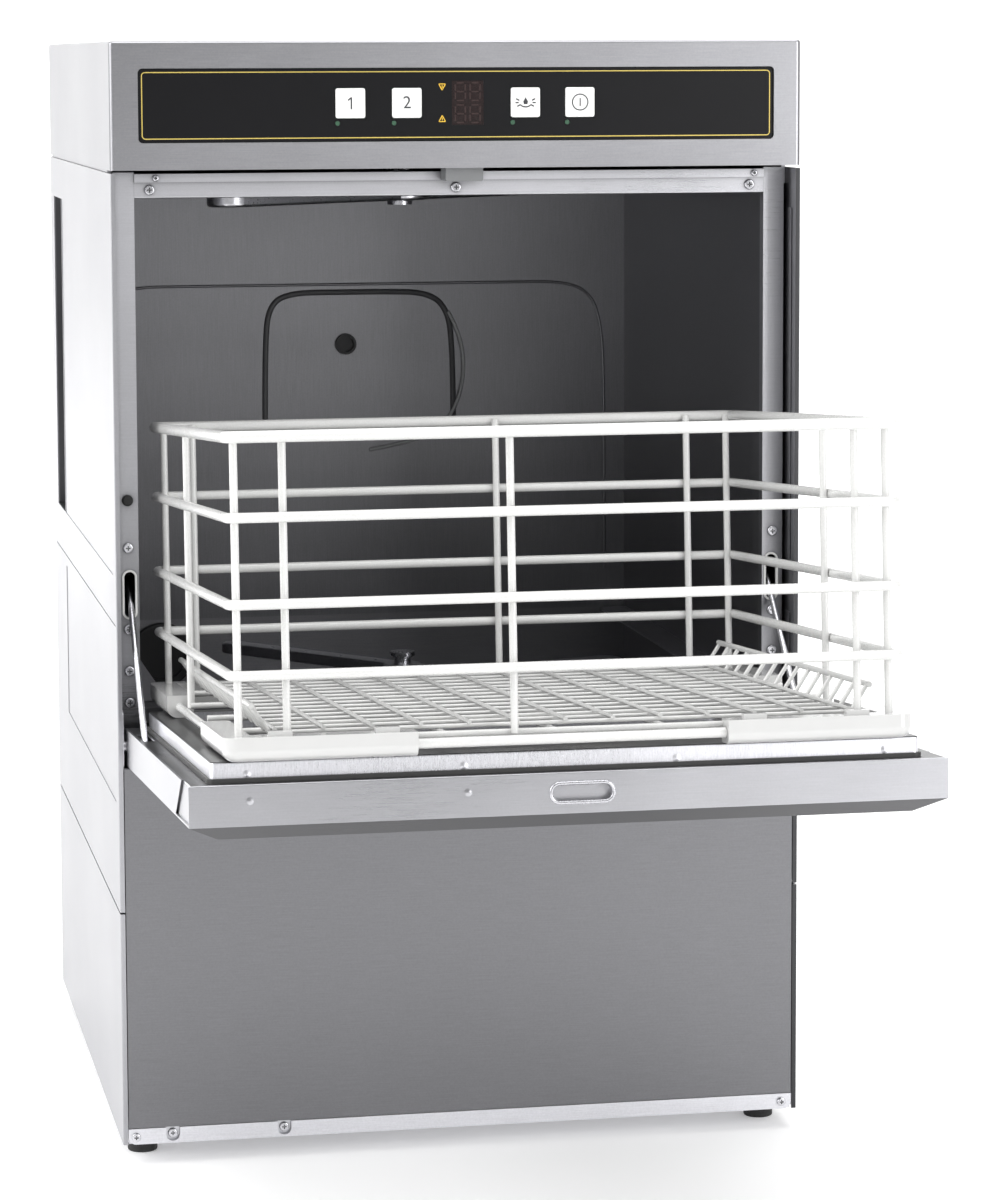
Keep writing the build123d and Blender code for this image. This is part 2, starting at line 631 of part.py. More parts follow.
def door_seal():
    """Lip seal round the foot of the rim."""
    outer = in_door((-RIM_HALF - 1.8, RIM_HALF + 1.8), (RIM_BACK - 1.8, RIM_FRONT + 1.8), (DOOR_T, DOOR_T + 2.4))
    outer = fillet(outer.edges().filter_by(Axis.Z), 4.6)
    inner = in_door((-RIM_HALF - 0.1, RIM_HALF + 0.1), (RIM_BACK - 0.1, RIM_FRONT + 0.1), (0, 40))
    inner = fillet(inner.edges().filter_by(Axis.Z), 3.0)
    return outer - inner


def rod_anchor_pin():
    return door_bar((-DOOR_HALF + SHEET, ROD_S, ROD_N), (-213.6, ROD_S, ROD_N), 2.5)


def door_rod():
    """Left support rod: an eye on the anchor pin and a straight rod into the post."""
    anchor = DOOR_FRAME * Location((-ROD_X, -ROD_S, ROD_N))
    y, z = anchor.position.Y, anchor.position.Z
    lean = math.radians(ROD_LEAN)
    tip = (-ROD_X, y + ROD_LENGTH * math.sin(lean), z + ROD_LENGTH * math.cos(lean))
    start = (-ROD_X, y + 4 * math.sin(lean), z + 4 * math.cos(lean))
    rod = bar(start, tip, ROD_R)
    eye = bar((-ROD_X - 2.6, y, z), (-ROD_X + 2.6, y, z), 5)
    hole = bar((-ROD_X - 4, y, z), (-ROD_X + 4, y, z), 2.5 + RUNNING_GAP)
    return rod + eye - hole


# ---------------------------------------------------------------- rack
def wire_loop(n, radius):
    """Closed rounded-rectangle ring of round wire at height n."""
    front, back = -RACK_FRONT, RACK_LENGTH - RACK_FRONT
    path = FilletPolyline((0, front, n), (RACK_HALF, front, n), (RACK_HALF, back, n),
                          (0, back, n), radius=RING_BEND)
    section = Plane(origin=path @ 0, z_dir=path % 0) * Circle(radius)
    half = sweep(section, path=path)
    return half + mirrored(half)


def rack_rings():
    made = [wire_loop(n, RING_R) for n in RING_N[:-1]]
    made.append(wire_loop(RING_N[-1], TOP_RING_R))
    return made


def rack_uprights():
    """Upright wires, welded inside the rings; the pattern repeats after half a turn."""
    inset = RING_R + UPRIGHT_R
    foot, top = RAIL_N + 2.6, RING_N[-1] + 1.0
    middle_s = RACK_FRONT - RACK_LENGTH / 2
    front_s = RACK_FRONT - inset
    half = [(-193.5, front_s + 0.8), (-165.5, front_s), (-33.0, front_s), (172.5, front_s),
            (191.5, front_s), (inset - RACK_HALF, 108.0)]
    spots = half + [(-x, 2 * middle_s - s) for x, s in half]
    return [door_bar((x, s, foot if s < front_s - 1 else RAIL_N + RAIL_R + 0.6), (x, s, top), UPRIGHT_R)
            for x, s in spots]


def rack_base():
    """Base mat: perimeter wires on three sides and two layers of wires between them."""
    back = RACK_FRONT - RACK_LENGTH
    inner_back = back + RAIL_R
    front = RACK_FRONT - 5.0
    side_r, wire = RAIL_R - 0.4, 2.0
    side_x = RACK_HALF - 2.0
    wires = [door_bar((-RACK_HALF + 8, back, RAIL_N), (RACK_HALF - 8, back, RAIL_N), RAIL_R)]
    for x in (-side_x, side_x):
        wires.append(door_bar((x, inner_back, RAIL_N), (x, front - 14, RAIL_N), side_r))
    for x in (-131.0, -66.0, 0.0, 66.0, 131.0):
        wires.append(door_bar((x, inner_back, RAIL_N), (x, front, RAIL_N), wire))
    for s in (20.0, 110.0, 200.0, 290.0, front - 4):
        start = (-side_x + side_r, s, RAIL_N + 2 * wire)
        wires.append(door_bar(start, (side_x - side_r, s, RAIL_N + 2 * wire), wire))
    return wires


def rack_insert():
    """Fine wire mat that the glasses stand on, and a raised flank along each side."""
    low, wire = RAIL_N + 7.32, 1.3
    x_low, x_high, rise = 172.0, 184.0, 16.0
    s_front, s_back, pitch = 338.0, -16.0, 25.2
    steps = [s_back + i * pitch for i in range(int((s_front - s_back) / pitch) + 1)]
    s_start, s_end = steps[0] - 4, steps[-1] + 4
    mat = [door_bar((-x_low, s, low), (x_low, s, low), wire) for s in steps]
    for j in range(13):
        x = -x_low + 1.3 + j * 2 * (x_low - 1.3) / 12
        mat.append(door_bar((x, s_start, low + 2.2), (x, s_end, low + 2.2), wire))
    x_foot = x_low + wire + 0.05
    flank = [door_bar((-x_high, s_start, low + rise), (-x_high, s_end, low + rise), 1.8)]
    for s in steps:
        flank.append(door_bar((-x_foot, s, low), (-x_high, s, low + rise), wire))
        flank.append(Location((-x_foot, -s, low)) * Sphere(wire))
    left = fused(flank)
    return [fused(mat), left, mirrored(left)]


def corner_shoe(front):
    """Moulded L-shaped shoe under a left corner; the front ones have a round nose."""
    height, arm, thick = 14.2, 112.0, 17.0
    bottom = RAIL_N - NOSE_R
    top = bottom + height
    out_x = RACK_HALF + 6.0
    if front:
        s0 = RACK_FRONT + NOSE_R
        along_x = in_door((-out_x, -out_x + arm), (s0 - thick, s0), (bottom, top))
        along_s = in_door((-out_x, -out_x + thick), (s0 - arm, s0), (bottom, top))
    else:
        s0 = RACK_FRONT - RACK_LENGTH - NOSE_R
        along_x = in_door((-out_x, -out_x + arm), (s0, s0 + thick), (bottom, top))
        along_s = in_door((-out_x, -out_x + thick), (s0, s0 + arm), (bottom, top))
    shoe = along_x + along_s
    outer_y = -s0
    upright_edge = [e for e in shoe.edges().filter_by(Axis.Z)
                    if abs(e.center().X + out_x) < 0.1 and abs(e.center().Y - outer_y) < 0.1]
    shoe = fillet(upright_edge, 8.0)
    nose = [e for e in shoe.edges()
            if abs(e.center().Z - bottom) < 0.01 and abs(e.center().Y - outer_y) < 3.0
            and e.center().X > -out_x - 0.01]
    shoe = fillet(nose, NOSE_R - 0.1)
    tab_s = (s0 - 9.5, s0 - 4.0) if front else (s0 + 4.0, s0 + 9.5)
    for x in (-out_x + 26.0, -out_x + 88.0):
        shoe += in_door((x, x + 14), tab_s, (top - 1, top + 3))
    return shoe


def rack_shoes():
    made = []
    for front in (True, False):
        shoe = corner_shoe(front)
        if front:
            inner_end = -RACK_HALF - 6.0 + 112.0
            shoe -= door_bar((inner_end - 10, RACK_FRONT, RAIL_N), (inner_end + 1, RACK_FRONT, RAIL_N),
                             2.0 + RUNNING_GAP)
        made += [shoe, mirrored(shoe)]
    return made


def rack_front_rail():
    """Front base wire between the front shoes, with thin journals that enter them."""
    end = RACK_HALF + 6.0 - 112.0 - 0.4
    rail = door_bar((-end, RACK_FRONT, RAIL_N), (end, RACK_FRONT, RAIL_N), RAIL_R)
    journal = door_bar((-end - 8, RACK_FRONT, RAIL_N), (end + 8, RACK_FRONT, RAIL_N), 2.0)
    return rail + journal


# ---------------------------------------------------------------- write every node
def on_door(shape):
    """Carry a shape, or a list of them, from door terms to the open door."""
    if isinstance(shape, list):
        return [DOOR_FRAME * s for s in shape]
    return DOOR_FRAME * shape


def main():
    write("base_frame", base_frame())
    write("base_strip", base_strip())
    upper, lower = side_panel_upper(), side_panel_lower()
    write("side_panel_left_upper", upper)
    write("side_panel_right_upper", mirrored(upper))
    write("side_panel_left_lower", lower)
    write("side_panel_right_lower", mirrored(lower))
    write("rear_panel", rear_panel())
    write("lower_front_panel", lower_front_panel())
    write("hood", hood())
    post = posts()
    write("post_left", post)
    write("post_right", mirrored(post))
    write("header_bar", header_bar())
    write("sill_bar", sill_bar())
    write("catch_block", catch_block())
    write("cabinet_screws", post_screws() + header_screws() + base_screws())
    write("door_switch", door_switch())
    write("slot_bezels", [slot_bezel(), mirrored(slot_bezel())])
    write("feet", feet())

    write("control_plate", control_plate())
    write("display_window", display_window())
    write("status_leds", status_leds())
    write("control_board", control_board())
    for name, x in BUTTON_X.items():
        write(name, push_button(x))

    write("chamber_sides", [chamber_side(), mirrored(chamber_side())])
    write("chamber_rear", chamber_rear())
    write("chamber_ceiling", chamber_ceiling())
    write("tank", tank())
    write("rack_runners", [rack_runner(), mirrored(rack_runner())])
    write("tank_strainer", tank_strainer())
    write("lower_arm_hub", lower_arm_hub())
    write("lower_wash_arm", placed_arm(spray_arm(268, 376, 30, 14, 6, True), 20))
    write("lower_rinse_arm", placed_arm(spray_arm(284.5, 350, 16, 8, 5, True), -50))
    write("upper_arm_hub", upper_arm_hub())
    write("upper_wash_arm", placed_arm(spray_arm(628, 376, 30, 11, 6, False), 38))
    write("upper_rinse_arm", placed_arm(spray_arm(640.2, 350, 16, 6, 5, False), -35))
    write("riser_pipe", riser_pipe())
    write("suction_elbow", suction_elbow())

    write("wash_pump", wash_pump())
    write("pump_motor", pump_motor())
    write("boiler", boiler())
    write("tank_heater", tank_heater())
    write("drain_pump", drain_pump())
    write("inlet_valve", inlet_valve())
    write("drain_spigot", drain_spigot())
    write("cable_gland", cable_gland())

    write("hinge_brackets", [hinge_bracket(), mirrored(hinge_bracket())])
    write("door_skin", on_door(door_skin()))
    write("door_liner", on_door(door_liner()))
    write("door_seal", on_door(door_seal()))
    write("rod_anchor_pins", on_door([rod_anchor_pin(), mirrored(rod_anchor_pin())]))
    write("door_rods", [door_rod(), mirrored(door_rod())])
    write("rack_rings", on_door(rack_rings()))
    write("rack_uprights", on_door(rack_uprights()))
    write("rack_base", on_door(rack_base()))
    write("rack_insert", on_door(rack_insert()))
    write("rack_shoes", on_door(rack_shoes()))
    write("rack_front_rail", on_door(rack_front_rail()))


main()
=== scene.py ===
"""Looks of the compact glasswasher: steel, plastics and wire coating, small printed and pressed details."""
import json
import math

import bmesh
import bpy
from mathutils import Matrix, Vector


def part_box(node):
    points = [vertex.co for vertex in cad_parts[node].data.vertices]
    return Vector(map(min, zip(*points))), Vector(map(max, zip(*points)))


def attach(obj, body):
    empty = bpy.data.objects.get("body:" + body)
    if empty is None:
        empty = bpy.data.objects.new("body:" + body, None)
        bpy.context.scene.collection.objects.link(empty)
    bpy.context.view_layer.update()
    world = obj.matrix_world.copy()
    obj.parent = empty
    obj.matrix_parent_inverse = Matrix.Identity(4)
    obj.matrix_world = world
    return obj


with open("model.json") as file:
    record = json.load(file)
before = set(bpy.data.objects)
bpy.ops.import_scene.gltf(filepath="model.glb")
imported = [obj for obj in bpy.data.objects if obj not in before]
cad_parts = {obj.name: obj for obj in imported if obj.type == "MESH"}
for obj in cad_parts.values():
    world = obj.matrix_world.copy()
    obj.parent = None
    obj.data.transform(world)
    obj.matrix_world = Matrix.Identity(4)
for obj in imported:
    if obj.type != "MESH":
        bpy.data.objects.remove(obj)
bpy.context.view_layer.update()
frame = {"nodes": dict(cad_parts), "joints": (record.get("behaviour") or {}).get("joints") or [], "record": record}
NODES = frame["nodes"]
MM = 0.001


# ---------------------------------------------------------------- node helpers
def new_material(name):
    material = bpy.data.materials.new(name)
    material.use_nodes = True
    tree = material.node_tree
    tree.nodes.clear()
    out = tree.nodes.new("ShaderNodeOutputMaterial")
    shader = tree.nodes.new("ShaderNodeBsdfPrincipled")
    tree.links.new(shader.outputs[0], out.inputs[0])
    return material, tree, shader


def noise(tree, scale, detail=3.0, rough=0.55):
    """Noise in the piece's own coordinates; scale is per metre along X, Y, Z."""
    coords = tree.nodes.new("ShaderNodeTexCoord")
    mapping = tree.nodes.new("ShaderNodeMapping")
    mapping.inputs["Scale"].default_value = scale
    tree.links.new(coords.outputs["Object"], mapping.inputs["Vector"])
    tex = tree.nodes.new("ShaderNodeTexNoise")
    tex.inputs["Scale"].default_value = 1.0
    tex.inputs["Detail"].default_value = detail
    tex.inputs["Roughness"].default_value = rough
    tree.links.new(mapping.outputs[0], tex.inputs["Vector"])
    return tex.outputs["Fac"]


def remap(tree, value, low, high, start=0.25, end=0.75):
    node = tree.nodes.new("ShaderNodeMapRange")
    node.inputs["From Min"].default_value = start
    node.inputs["From Max"].default_value = end
    node.inputs["To Min"].default_value = low
    node.inputs["To Max"].default_value = high
    tree.links.new(value, node.inputs["Value"])
    return node.outputs[0]


def maths(tree, kind, a, b):
    node = tree.nodes.new("ShaderNodeMath")
    node.operation = kind
    for socket, value in zip(node.inputs, (a, b)):
        if isinstance(value, (int, float)):
            socket.default_value = value
        else:
            tree.links.new(value, socket)
    return node.outputs[0]


def tinted(tree, colour, factor):
    """colour times a varying factor."""
    node = tree.nodes.new("ShaderNodeVectorMath")
    node.operation = "SCALE"
    node.inputs[0].default_value = colour
    tree.links.new(factor, node.inputs["Scale"])
    return node.outputs[0]


def bumped(tree, shader, height, strength, distance):
    bump = tree.nodes.new("ShaderNodeBump")
    bump.inputs["Strength"].default_value = strength
    bump.inputs["Distance"].default_value = distance
    tree.links.new(height, bump.inputs["Height"])
    tree.links.new(bump.outputs[0], shader.inputs["Normal"])


PRINT_LIFT, MARK_LIFT, SEGMENT_LIFT = 0.08 * MM, 0.05 * MM, 0.04 * MM      # how far prints stand proud
GRAINS = {"x": (45, 2400, 2400), "y": (2400, 45, 2400), "z": (2400, 2400, 45), "none": (700, 700, 700)}


def step(tree, value, edge, width):
    """0 below the edge and 1 above it, over a soft width."""
    return remap(tree, value, 0.0, 1.0, edge - width / 2, edge + width / 2)


def facing(tree, axis, sign, edge=0.5):
    """1 on faces that look along that axis of the piece's own frame."""
    coords = tree.nodes.new("ShaderNodeTexCoord")
    split = tree.nodes.new("ShaderNodeSeparateXYZ")
    tree.links.new(coords.outputs["Normal"], split.inputs[0])
    return step(tree, maths(tree, "MULTIPLY", split.outputs["XYZ".index(axis.upper())], sign), edge, 0.2)


def beyond(tree, axis, edge, sign=1.0, width=0.0006):
    """1 where the piece's own coordinate is past the edge, in metres."""
    coords = tree.nodes.new("ShaderNodeTexCoord")
    split = tree.nodes.new("ShaderNodeSeparateXYZ")
    tree.links.new(coords.outputs["Object"], split.inputs[0])
    place = maths(tree, "MULTIPLY", split.outputs["XYZ".index(axis.upper())], sign)
    return step(tree, place, sign * edge, width)


def open_sky(tree, reach):
    """1 on open faces, falling towards 0 in grooves and corners within reach."""
    node = tree.nodes.new("ShaderNodeAmbientOcclusion")
    node.samples = 6
    node.inputs["Distance"].default_value = reach
    return node.outputs["AO"]


def lerp(tree, factor, low, high):
    """low where factor is 0, high where it is 1."""
    return maths(tree, "ADD", maths(tree, "MULTIPLY", factor, high - low), low)


COOL = 1.05      # blue share of bare stainless


def steel(name, tone, rough, grain="x", streak=0.10, smudge=0.06, warm=0.0, wave=0.05, painted_light=None):
    """Stainless sheet: fine rolled grain, cloudy handling marks, slight unevenness of the sheet.
    painted_light gives a factor for the tone over the sheet: painted shade where folds and recesses fall in shade,
    and a painted highlight on some upright faces."""
    material, tree, shader = new_material(name)
    fine = noise(tree, GRAINS[grain], 4.0, 0.6)
    speck = noise(tree, (900, 900, 900), 2.0, 0.5)
    cloud = noise(tree, (5.0, 5.0, 7.0), 3.0, 0.5)
    specks = remap(tree, speck, -streak / 2, streak / 2)
    mixed = maths(tree, "ADD", remap(tree, fine, -streak, streak), specks)
    factor = maths(tree, "ADD", maths(tree, "ADD", mixed, 1.0), remap(tree, cloud, -smudge, smudge))
    # painted shade and painted highlight are multiplied into the tone here
    if painted_light:
        factor = maths(tree, "MULTIPLY", factor, painted_light(tree))
    colour = (tone * (1 + warm), tone, tone * (COOL - 0.6 * warm))
    tree.links.new(tinted(tree, colour, factor), shader.inputs["Base Color"])
    shader.inputs["Metallic"].default_value = 1.0
    spread = maths(tree, "ADD", remap(tree, cloud, -0.04, 0.05), remap(tree, fine, -0.03, 0.03))
    tree.links.new(maths(tree, "ADD", spread, rough), shader.inputs["Roughness"])
    relief = maths(tree, "ADD", remap(tree, fine, 0.0, 0.02), remap(tree, cloud, 0.0, 1.0))
    bumped(tree, shader, relief, wave, 0.0016)
    return material


def plastic(name, colour, rough, orange=0.25, coat=0.0, shade=0.05, scale=700):
    """Moulded or dipped plastic: faint mottling, fine texture in the surface."""
    material, tree, shader = new_material(name)
    mottle = noise(tree, (35, 35, 35), 3.0)
    skin = noise(tree, (scale, scale, scale), 2.0)
    factor = remap(tree, mottle, 1 - shade, 1 + shade)
    tree.links.new(tinted(tree, colour, factor), shader.inputs["Base Color"])
    tree.links.new(remap(tree, skin, rough - 0.05, rough + 0.06), shader.inputs["Roughness"])
    shader.inputs["Coat Weight"].default_value = coat
    shader.inputs["Coat Roughness"].default_value = 0.12
    bumped(tree, shader, skin, orange, 0.00025)
    return material


def printed(name, colour, metallic=0.0, rough=0.4):
    """Screen-printed ink, slightly uneven."""
    material, tree, shader = new_material(name)
    grain = noise(tree, (2600, 2600, 2600), 2.0)
    tree.links.new(tinted(tree, colour, remap(tree, grain, 0.88, 1.1)), shader.inputs["Base Color"])
    tree.links.new(remap(tree, grain, rough - 0.08, rough + 0.08), shader.inputs["Roughness"])
    shader.inputs["Metallic"].default_value = metallic
    return material


# ---------------------------------------------------------------- painted light and shade on single sheets
def side_painted_shade(tree):
    """Painted shade inside the deep recess at the rear of a side panel, and on the right front return."""
    low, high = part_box("side_panel_left_upper")
    back = beyond(tree, "y", high.y - 93 * MM)
    ahead = beyond(tree, "y", high.y - 28 * MM, -1.0)
    deep_left = beyond(tree, "x", low.x + 1.0 * MM)
    deep_right = beyond(tree, "x", -low.x - 1.0 * MM, -1.0)
    along = maths(tree, "MULTIPLY", back, ahead)
    inside = maths(tree, "MULTIPLY", along, maths(tree, "MULTIPLY", deep_left, deep_right))
    # painted shade on the front-facing return at the right
    edge = maths(tree, "MULTIPLY", beyond(tree, "x", 0.1), facing(tree, "Y", -1.0))
    return maths(tree, "MULTIPLY", lerp(tree, inside, 1.0, 0.40), lerp(tree, edge, 1.0, 0.16))


def door_painted_shade(tree):
    """Painted shade on folds that look down, which come out darker than the flange."""
    return lerp(tree, facing(tree, "Z", -1.0, 0.45), 1.0, 0.22)


def post_painted_shade(tree):
    """Painted shade: darker round the fittings and towards the sill."""
    near = lerp(tree, maths(tree, "POWER", open_sky(tree, 7 * MM), 1.6), 0.30, 1.0)
    sill_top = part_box("sill_bar")[1].z
    header_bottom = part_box("header_bar")[0].z
    lower = beyond(tree, "z", (sill_top + header_bottom) / 2, 1.0, header_bottom - sill_top)
    return maths(tree, "MULTIPLY", near, lerp(tree, lower, 0.50, 1.0))


def screw_painted_shade(tree):
    """Painted shade in the cross recess and round the foot of each head."""
    return lerp(tree, maths(tree, "POWER", open_sky(tree, 2.2 * MM), 2.0), 0.06, 1.0)


def liner_painted_light(tree):
    """Painted light on the pressing: painted shade on its flats and a painted highlight on its upright faces."""
    return lerp(tree, facing(tree, "Z", 1.0), 1.55, 0.16)


# ---------------------------------------------------------------- the materials, one per slot
MATERIALS = {
    "base_steel": steel("base_steel", 0.62, 0.38),
    "shell_steel": steel("shell_steel", 0.68, 0.34),
    "side_steel": steel("side_steel", 0.365, 0.33, "z", 0.05, 0.03, painted_light=side_painted_shade),
    "rear_steel": steel("rear_steel", 0.43, 0.42, "z"),
    "front_steel": steel("front_steel", 0.185, 0.36, "x", 0.10, 0.05),
    "hood_steel": steel("hood_steel", 0.335, 0.33, "x", 0.08, 0.05),
    "frame_steel": steel("frame_steel", 0.54, 0.30, "x", 0.05, 0.05, wave=0.015, painted_light=post_painted_shade),
    "catch_plastic": plastic("catch_plastic", (0.20, 0.205, 0.21), 0.5),
    "screw_steel": steel("screw_steel", 0.62, 0.2, "none", 0.05, 0.04, painted_light=screw_painted_shade),
    "switch_rubber": plastic("switch_rubber", (0.012, 0.012, 0.012), 0.6),
    "bezel_plastic": plastic("bezel_plastic", (0.80, 0.80, 0.78), 0.3),
    "foot_rubber": plastic("foot_rubber", (0.012, 0.012, 0.012), 0.62, 0.4),
    "plate_black": plastic("plate_black", (0.004, 0.004, 0.005), 0.34, 0.04, 0.0, 0.10, 1400),
    "display_glass": plastic("display_glass", (0.012, 0.005, 0.005), 0.10, 0.02, 0.8, 0.15),
    "led_green": plastic("led_green", (0.04, 0.10, 0.06), 0.20, 0.05, 0.5),
    "board_green": plastic("board_green", (0.02, 0.12, 0.05), 0.45),
    "button_plastic": plastic("button_plastic", (0.80, 0.80, 0.79), 0.28, 0.08, 0.4, 0.02, 1200),
    "chamber_steel": steel("chamber_steel", 0.235, 0.36, "z", 0.10, 0.12),
    "tank_steel": steel("tank_steel", 0.28, 0.40, "x", 0.10, 0.12),
    "runner_steel": steel("runner_steel", 0.45, 0.36, "y"),
    "strainer_steel": steel("strainer_steel", 0.42, 0.38, "x"),
    "hub_steel": steel("hub_steel", 0.52, 0.28, "none"),
    "arm_steel": steel("arm_steel", 0.56, 0.30, "none", 0.06),
    "pipe_plastic": plastic("pipe_plastic", (0.02, 0.02, 0.022), 0.45),
    "elbow_plastic": plastic("elbow_plastic", (0.010, 0.010, 0.011), 0.4),
    "pump_plastic": plastic("pump_plastic", (0.014, 0.014, 0.016), 0.5, 0.5),
    "motor_aluminium": steel("motor_aluminium", 0.52, 0.5, "none"),
    "boiler_steel": steel("boiler_steel", 0.55, 0.33, "y"),
    "heater_steel": steel("heater_steel", 0.36, 0.4, "none", 0.1, 0.15, 0.12),
    "valve_plastic": plastic("valve_plastic", (0.72, 0.72, 0.69), 0.4),
    "gland_plastic": plastic("gland_plastic", (0.02, 0.02, 0.02), 0.45),
    "hinge_steel": steel("hinge_steel", 0.55, 0.33, "none"),
    "door_steel": steel("door_steel", 0.45, 0.31, "x", 0.05, 0.05, wave=0.015, painted_light=door_painted_shade),
    "liner_steel": steel("liner_steel", 0.52, 0.30, "z", 0.12, 0.06, painted_light=liner_painted_light),
    "seal_rubber": plastic("seal_rubber", (0.05, 0.05, 0.05), 0.5),
    "pin_steel": steel("pin_steel", 0.60, 0.28, "none"),
    "rod_steel": steel("rod_steel", 0.62, 0.24, "none", 0.05),
    "rack_coating": plastic("rack_coating", (0.62, 0.62, 0.61), 0.26, 0.02, 0.5, 0.02, 1500),
    "insert_coating": plastic("insert_coating", (0.62, 0.62, 0.61), 0.30, 0.02, 0.4, 0.02, 1500),
    "shoe_plastic": plastic("shoe_plastic", (0.54, 0.54, 0.535), 0.20, 0.04, 0.6, 0.02, 1500),
}
INK_DARK = printed("ink_dark", (0.03, 0.03, 0.035))
INK_GOLD = printed("ink_gold", (0.62, 0.48, 0.12), 0.3, 0.35)
INK_YELLOW = printed("ink_yellow", (0.80, 0.50, 0.04))
SEGMENT = printed("segment_off", (0.022, 0.008, 0.007), 0.0, 0.3)
MATERIALS["plate_black"].node_tree.nodes["Principled BSDF"].inputs["Specular IOR Level"].default_value = 0.2
EDGE_SHADE = plastic("edge_shade", (0.085, 0.087, 0.09), 0.42)
CLEAR_HOSE = plastic("clear_hose", (0.42, 0.43, 0.43), 0.18, 0.05, 0.5)

for part in frame["record"]["subparts"]:
    node = NODES[part["node"]]
    node.data.materials.clear()
    node.data.materials.append(MATERIALS[part["material_slot"]])


# ---------------------------------------------------------------- mesh helpers
def add_mesh(name, bm, material, body, smooth=False):
    mesh = bpy.data.meshes.new(name)
    bm.normal_update()
    bm.to_mesh(mesh)
    bm.free()
    for polygon in mesh.polygons:
        polygon.use_smooth = smooth
    mesh.materials.append(material)
    piece = bpy.data.objects.new(name, mesh)
    bpy.context.scene.collection.objects.link(piece)
    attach(piece, body)
    return piece


def rounded_outline(half_x, half_z, radius, steps=8):
    """Points of a rounded rectangle about the origin, counter-clockwise in X, Z."""
    corners = ((half_x - radius, half_z - radius, 0), (radius - half_x, half_z - radius, 90),
               (radius - half_x, radius - half_z, 180), (half_x - radius, radius - half_z, 270))
    points = []
    for cx, cz, start in corners:
        for k in range(steps + 1):
            angle = math.radians(start + 90 * k / steps)
            points.append((cx + radius * math.cos(angle), cz + radius * math.sin(angle)))
    return points


def ridge_loop(bm, outer, inner, centre, y, lift):
    """Low closed band between two outlines on a face towards -Y, standing lift proud."""
    rows = []
    for outline, height in ((outer, 0.0), (outer, lift), (inner, lift), (inner, 0.0)):
        rows.append([bm.verts.new((centre[0] + px, y - height, centre[1] + pz)) for px, pz in outline])
    count = len(outer)
    for a, b in zip(rows, rows[1:]):
        for k in range(count):
            bm.faces.new((a[k], a[(k + 1) % count], b[(k + 1) % count], b[k]))


def flat_shape(bm, points, y, lift):
    """Raised print on a face towards -Y from an outline of (x, z) points."""
    top = [bm.verts.new((x, y - lift, z)) for x, z in points]
    low = [bm.verts.new((x, y, z)) for x, z in points]
    bm.faces.new(top)
    for k in range(len(points)):
        j = (k + 1) % len(points)
        bm.faces.new((top[k], low[k], low[j], top[j]))


def stroke(bm, start, end, width, y, lift):
    """Straight printed line with square ends."""
    a, b = Vector(start), Vector(end)
    side = (b - a).normalized().orthogonal() * width / 2
    flat_shape(bm, [tuple(a + side), tuple(a - side), tuple(b - side), tuple(b + side)], y, lift)


def arc_stroke(bm, centre, radius, start, end, width, y, lift, steps=20):
    outer, inner = [], []
    for k in range(steps + 1):
        angle = math.radians(start + (end - start) * k / steps)
        outer.append((centre[0] + (radius + width / 2) * math.cos(angle),
                      centre[1] + (radius + width / 2) * math.sin(angle)))
        inner.append((centre[0] + (radius - width / 2) * math.cos(angle),
                      centre[1] + (radius - width / 2) * math.sin(angle)))
    for k in range(steps):
        flat_shape(bm, [outer[k], outer[k + 1], inner[k + 1], inner[k]], y, lift)


def tube(name, points, radius, material, body, cyclic=False):
    """Smooth round tube through control points, as a bevelled curve."""
    curve = bpy.data.curves.new(name, "CURVE")
    curve.dimensions = "3D"
    curve.bevel_depth = radius
    curve.bevel_resolution = 5
    curve.use_fill_caps = True
    spline = curve.splines.new("NURBS")
    spline.points.add(len(points) - 1)
    for target, point in zip(spline.points, points):
        target.co = (*point, 1.0)
    spline.order_u = 3
    spline.use_endpoint_u = not cyclic
    spline.use_cyclic_u = cyclic
    spline.resolution_u = 12
    piece = bpy.data.objects.new(name, curve)
    bpy.context.scene.collection.objects.link(piece)
    curve.materials.append(material)
    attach(piece, body)
    return piece


# ---------------------------------------------------------------- control plate print
plate_low, plate_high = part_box("control_plate")
plate_mid = ((plate_low.x + plate_high.x) / 2, (plate_low.z + plate_high.z) / 2)
plate_half = ((plate_high.x - plate_low.x) / 2, (plate_high.z - plate_low.z) / 2)
face_y = plate_low.y
bm = bmesh.new()
ridge_loop(bm, rounded_outline(plate_half[0] - 2.1 * MM, plate_half[1] - 2.1 * MM, 2.6 * MM),
           rounded_outline(plate_half[0] - 2.75 * MM, plate_half[1] - 2.75 * MM, 1.8 * MM),
           plate_mid, face_y, PRINT_LIFT)
add_mesh("plate_gold_line", bm, INK_GOLD, "cabinet")

display_low, display_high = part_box("display_window")
icon_x = display_low.x - 6.5 * MM
bm = bmesh.new()
for z, up in ((display_high.z - 4.0 * MM, False), (display_low.z + 4.0 * MM, True)):
    s = 2.2 * MM
    tip = s if up else -s
    outline = [(icon_x - s, z - tip / 1.2), (icon_x + s, z - tip / 1.2), (icon_x, z + tip)]
    for k in range(3):
        stroke(bm, outline[k], outline[(k + 1) % 3], 0.55 * MM, face_y, PRINT_LIFT)
    stroke(bm, (icon_x, z - tip * 0.5), (icon_x, z + tip * 0.35), 0.5 * MM, face_y, PRINT_LIFT)
add_mesh("plate_icons", bm, INK_YELLOW, "cabinet")

